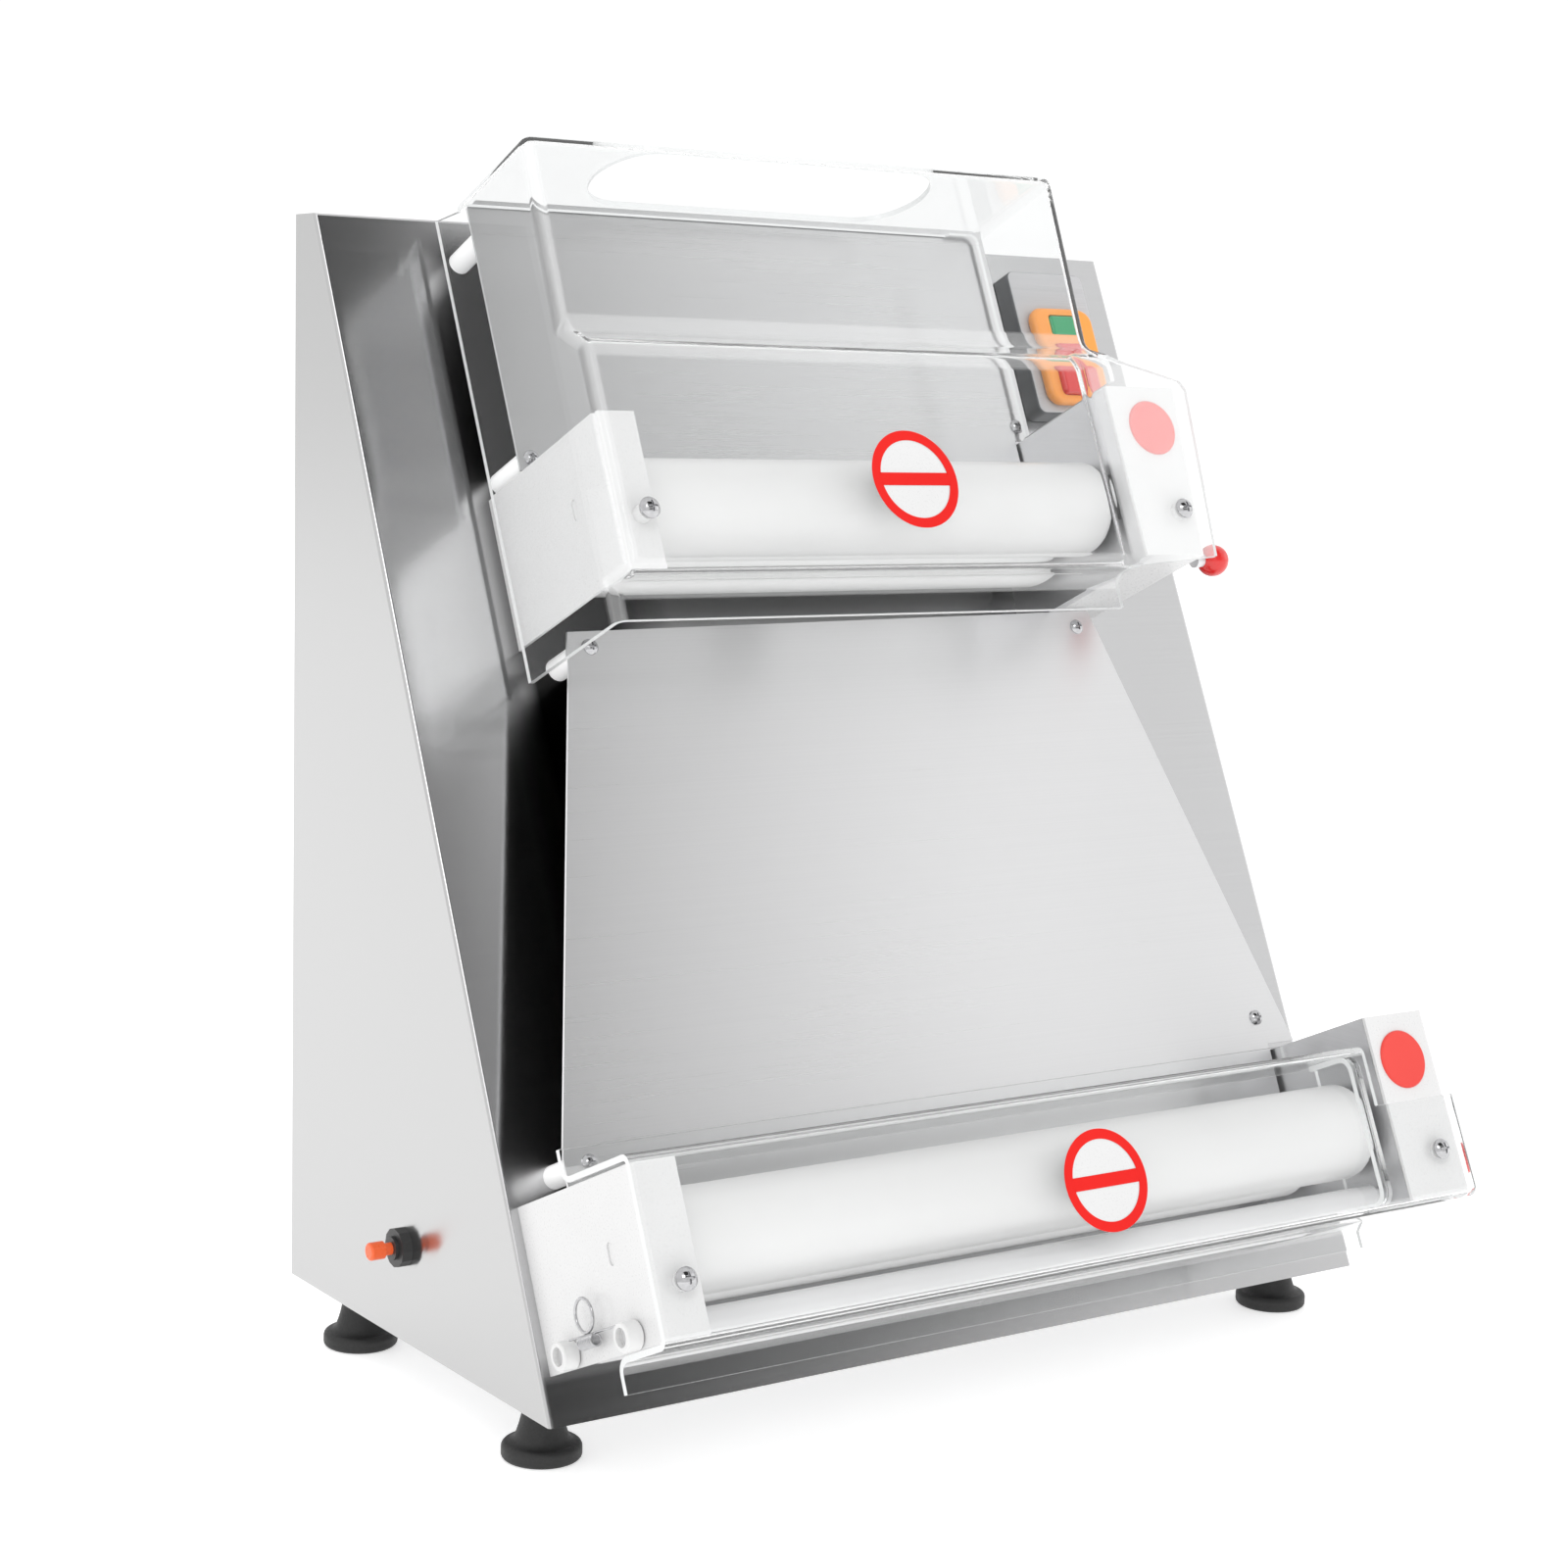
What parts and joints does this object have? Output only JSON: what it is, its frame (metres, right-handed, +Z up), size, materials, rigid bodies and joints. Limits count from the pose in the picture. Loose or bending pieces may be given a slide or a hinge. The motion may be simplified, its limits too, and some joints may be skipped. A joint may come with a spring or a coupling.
{
  "type": "dough sheeter",
  "caption": "Bench dough sheeter with an inclined stainless housing, upper and lower roller pairs, a sloping chute between them and clear guards.",
  "frame": {"origin": "on the floor under the middle of the housing", "axes": "+X to the operator's right, -Y towards the operator, +Z up"},
  "size_m": [0.5699, 0.3994, 0.6435],
  "materials": {
    "stainless": "brushed",
    "white_paint": "gloss",
    "steel": "machined",
    "white_plastic": "satin",
    "clear_plastic": "clear, polished",
    "red_plastic": "gloss",
    "black_rubber": "matt",
    "grey_plastic": "satin",
    "orange_plastic": "satin",
    "green_plastic": "gloss",
    "black_plastic": "matt",
    "motor_paint": "satin",
    "screw_steel": "bright"
  },
  "bodies": {
    "frame_body": {"back_cover": "stainless", "base_plate": "stainless", "breaker_body": "black_plastic", "cable_gland": "black_plastic", "chute_plate": "stainless", "cover_caps": "red_plastic", "foot_studs": "screw_steel", "gearmotor": "motor_paint", "guard_screws": "screw_steel", "guard_spacers": "white_plastic", "housing": "stainless", "idler_brackets": "steel", "lower_drive_chain": "steel", "lower_gear_cover": "white_paint", "lower_guard": "clear_plastic", "lower_left_cheek": "white_paint", "lower_left_end_plate": "steel", "lower_right_end_plate": "steel", "motor_bracket": "steel", "panel_screws": "screw_steel", "plate_standoffs": "white_plastic", "rubber_feet": "black_rubber", "scraper_spring": "screw_steel", "switch_bezel": "orange_plastic", "switch_housing": "grey_plastic", "upper_drive_chain": "steel", "upper_gear_cover": "white_paint", "upper_guard": "clear_plastic", "upper_guide_plate": "stainless", "upper_left_cheek": "white_paint", "upper_left_end_plate": "steel", "upper_right_end_plate": "steel"},
    "upper_rear_roll": {"upper_rear_roller": "white_plastic", "upper_rear_shaft": "steel", "upper_rear_gear": "steel"},
    "upper_slider": {"upper_carriage": "steel"},
    "upper_front_roll": {"upper_front_roller": "white_plastic", "upper_front_shaft": "steel", "upper_front_gear": "steel"},
    "upper_idler": {"upper_idler_gear": "steel"},
    "upper_lever": {"upper_thickness_lever": "steel", "upper_lever_knob": "red_plastic"},
    "lower_rear_roll": {"lower_rear_roller": "white_plastic", "lower_rear_shaft": "steel", "lower_rear_gear": "steel"},
    "lower_slider": {"lower_carriage": "steel"},
    "lower_front_roll": {"lower_front_roller": "white_plastic", "lower_front_shaft": "steel", "lower_front_gear": "steel"},
    "lower_idler": {"lower_idler_gear": "steel"},
    "lower_lever": {"lower_thickness_lever": "steel", "lower_lever_knob": "red_plastic"},
    "drive": {"drive_shaft": "steel"},
    "front_scraper_body": {"front_scraper": "white_plastic", "front_scraper_collar": "white_plastic"},
    "rear_scraper_body": {"rear_scraper": "white_plastic", "rear_scraper_collar": "white_plastic"},
    "start_body": {"start_button": "green_plastic"},
    "stop_body": {"stop_button": "red_plastic"},
    "reset_body": {"reset_button": "red_plastic"}
  },
  "joints": [
    {"name": "lower_rear_spin", "type": "hinge", "parent": "frame_body", "child": "lower_rear_roll", "pos_m": [0, -0.13709, 0.10523], "axis": [1, 0, 0], "continuous": true},
    {"name": "upper_rear_spin", "type": "hinge", "parent": "frame_body", "child": "upper_rear_roll", "pos_m": [0, 0.01026, 0.437], "axis": [1, 0, 0], "continuous": true},
    {"name": "upper_lever_turn", "type": "hinge", "parent": "frame_body", "child": "upper_lever", "pos_m": [0, -0.03715, 0.4586], "axis": [1, 0, 0], "range_deg": [-80, 0]},
    {"name": "upper_gap_slide", "type": "slide", "parent": "frame_body", "child": "upper_slider", "axis": [0, -0.91, 0.4147], "range_m": [0, 0.003]},
    {"name": "upper_front_spin", "type": "hinge", "parent": "upper_slider", "child": "upper_front_roll", "pos_m": [0, -0.03715, 0.4586], "axis": [1, 0, 0], "continuous": true},
    {"name": "lower_lever_turn", "type": "hinge", "parent": "frame_body", "child": "lower_lever", "pos_m": [0, -0.18449, 0.12684], "axis": [1, 0, 0], "range_deg": [-80, 0]},
    {"name": "lower_gap_slide", "type": "slide", "parent": "frame_body", "child": "lower_slider", "axis": [0, -0.91, 0.4147], "range_m": [0, 0.003]},
    {"name": "lower_front_spin", "type": "hinge", "parent": "lower_slider", "child": "lower_front_roll", "pos_m": [0, -0.18449, 0.12684], "axis": [1, 0, 0], "continuous": true},
    {"name": "upper_idler_spin", "type": "hinge", "parent": "frame_body", "child": "upper_idler", "pos_m": [0, 0.05767, 0.41539], "axis": [1, 0, 0], "continuous": true},
    {"name": "lower_idler_spin", "type": "hinge", "parent": "frame_body", "child": "lower_idler", "pos_m": [0, -0.08968, 0.08363], "axis": [1, 0, 0], "continuous": true},
    {"name": "drive_spin", "type": "hinge", "parent": "frame_body", "child": "drive", "pos_m": [0, 0.04833, 0.21909], "axis": [1, 0, 0], "continuous": true},
    {"name": "front_scraper_pivot", "type": "hinge", "parent": "frame_body", "child": "front_scraper_body", "pos_m": [0, -0.20902, 0.0957], "axis": [1, 0, 0], "range_deg": [-3, 3], "stiffness_Nm_per_rad": 1},
    {"name": "rear_scraper_pivot", "type": "hinge", "parent": "frame_body", "child": "rear_scraper_body", "pos_m": [0, -0.15351, 0.07041], "axis": [1, 0, 0], "range_deg": [-3, 3], "stiffness_Nm_per_rad": 1},
    {"name": "start_press", "type": "slide", "parent": "frame_body", "child": "start_body", "axis": [0, 0.91, -0.4147], "range_m": [0, 0.003], "stiffness_N_per_m": 500, "springref_m": -0.0005},
    {"name": "stop_press", "type": "slide", "parent": "frame_body", "child": "stop_body", "axis": [0, 0.91, -0.4147], "range_m": [0, 0.003], "stiffness_N_per_m": 500, "springref_m": -0.0005},
    {"name": "reset_press", "type": "slide", "parent": "frame_body", "child": "reset_body", "axis": [1, 0, 0], "range_m": [0, 0.003], "stiffness_N_per_m": 500, "springref_m": -0.0005}
  ],
  "couplings": [
    {"joint": "upper_rear_spin", "follows": "lower_rear_spin", "ratio": 1},
    {"joint": "upper_lever_turn", "follows": "upper_gap_slide", "rad_per_m": -465.42},
    {"joint": "upper_front_spin", "follows": "lower_rear_spin", "ratio": -1},
    {"joint": "lower_lever_turn", "follows": "lower_gap_slide", "rad_per_m": -465.42},
    {"joint": "lower_front_spin", "follows": "lower_rear_spin", "ratio": -1},
    {"joint": "upper_idler_spin", "follows": "lower_rear_spin", "ratio": -1},
    {"joint": "lower_idler_spin", "follows": "lower_rear_spin", "ratio": -1},
    {"joint": "drive_spin", "follows": "lower_rear_spin", "ratio": -1}
  ]
}
